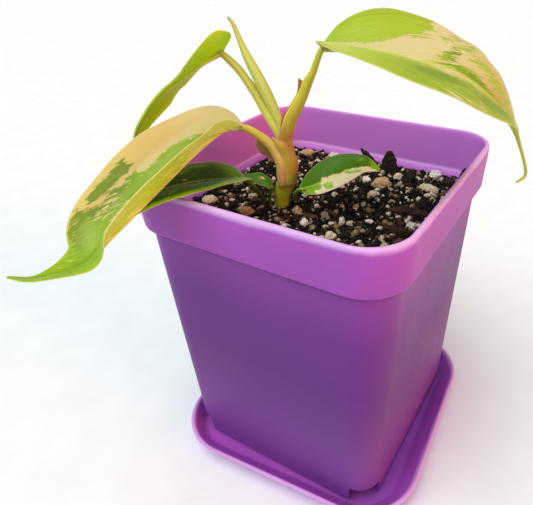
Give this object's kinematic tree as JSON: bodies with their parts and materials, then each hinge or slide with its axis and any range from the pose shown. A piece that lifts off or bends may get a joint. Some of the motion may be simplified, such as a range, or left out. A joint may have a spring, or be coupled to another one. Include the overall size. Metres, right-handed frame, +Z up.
{
  "type": "potted plant",
  "caption": "Young variegated philodendron with long pointed leaves, growing in potting mix in a square purple pot that stands in a matching square saucer.",
  "frame": {"origin": "on the pot's vertical centre line, on the saucer's underside, which is the surface that the saucer stands on", "axes": "+Z up; the wide face of the pot in the picture looks along -Y, and its narrower right face along +X"},
  "size_m": [0.1266, 0.1479, 0.1724],
  "materials": {
    "pot_plastic": "injection-moulded translucent purple plastic, satin",
    "saucer_plastic": "injection-moulded purple plastic, satin",
    "potting_mix": "dark peat and bark fines, matt",
    "perlite_and_pumice": "rough, porous, matt",
    "bark": "dry, rough, matt",
    "leaf_cream_and_green": "living leaf, cream with green streaks, waxy satin",
    "leaf_lime": "living leaf, lime green with a cream middle, waxy satin",
    "leaf_plain_green": "living leaf, plain lime green, waxy satin",
    "leaf_dark": "living leaf, dark green, glossy",
    "leaf_juvenile": "living leaf, green with a cream streak, satin",
    "stem": "living stem, olive green, satin",
    "papery_sheath": "thin drying sheath, pinkish, translucent"
  },
  "bodies": {
    "root": {"saucer": "saucer_plastic", "pot": "pot_plastic", "potting_mix": "potting_mix", "main_stem": "stem", "leaf_right": "leaf_lime", "leaf_front": "leaf_cream_and_green", "leaf_back": "leaf_plain_green", "new_leaf": "leaf_lime", "leaf_low_left": "leaf_dark", "leaf_low_right": "leaf_juvenile", "leaf_small_left": "leaf_juvenile", "petiole_sheath": "papery_sheath", "stone_01": "perlite_and_pumice", "stone_02": "perlite_and_pumice", "stone_03": "perlite_and_pumice", "stone_04": "perlite_and_pumice", "stone_05": "perlite_and_pumice", "stone_06": "perlite_and_pumice", "stone_07": "perlite_and_pumice", "stone_08": "perlite_and_pumice", "stone_09": "perlite_and_pumice", "stone_10": "perlite_and_pumice", "stone_11": "perlite_and_pumice", "stone_12": "perlite_and_pumice", "stone_13": "perlite_and_pumice", "stone_14": "perlite_and_pumice", "stone_15": "perlite_and_pumice", "stone_16": "perlite_and_pumice", "stone_17": "perlite_and_pumice", "stone_18": "perlite_and_pumice", "stone_19": "perlite_and_pumice", "bark_1": "bark", "bark_2": "bark", "bark_3": "bark", "bark_4": "bark", "bark_5": "bark", "bark_6": "bark", "bark_7": "bark", "bark_8": "bark", "bark_9": "bark"}
  },
  "joints": []
}
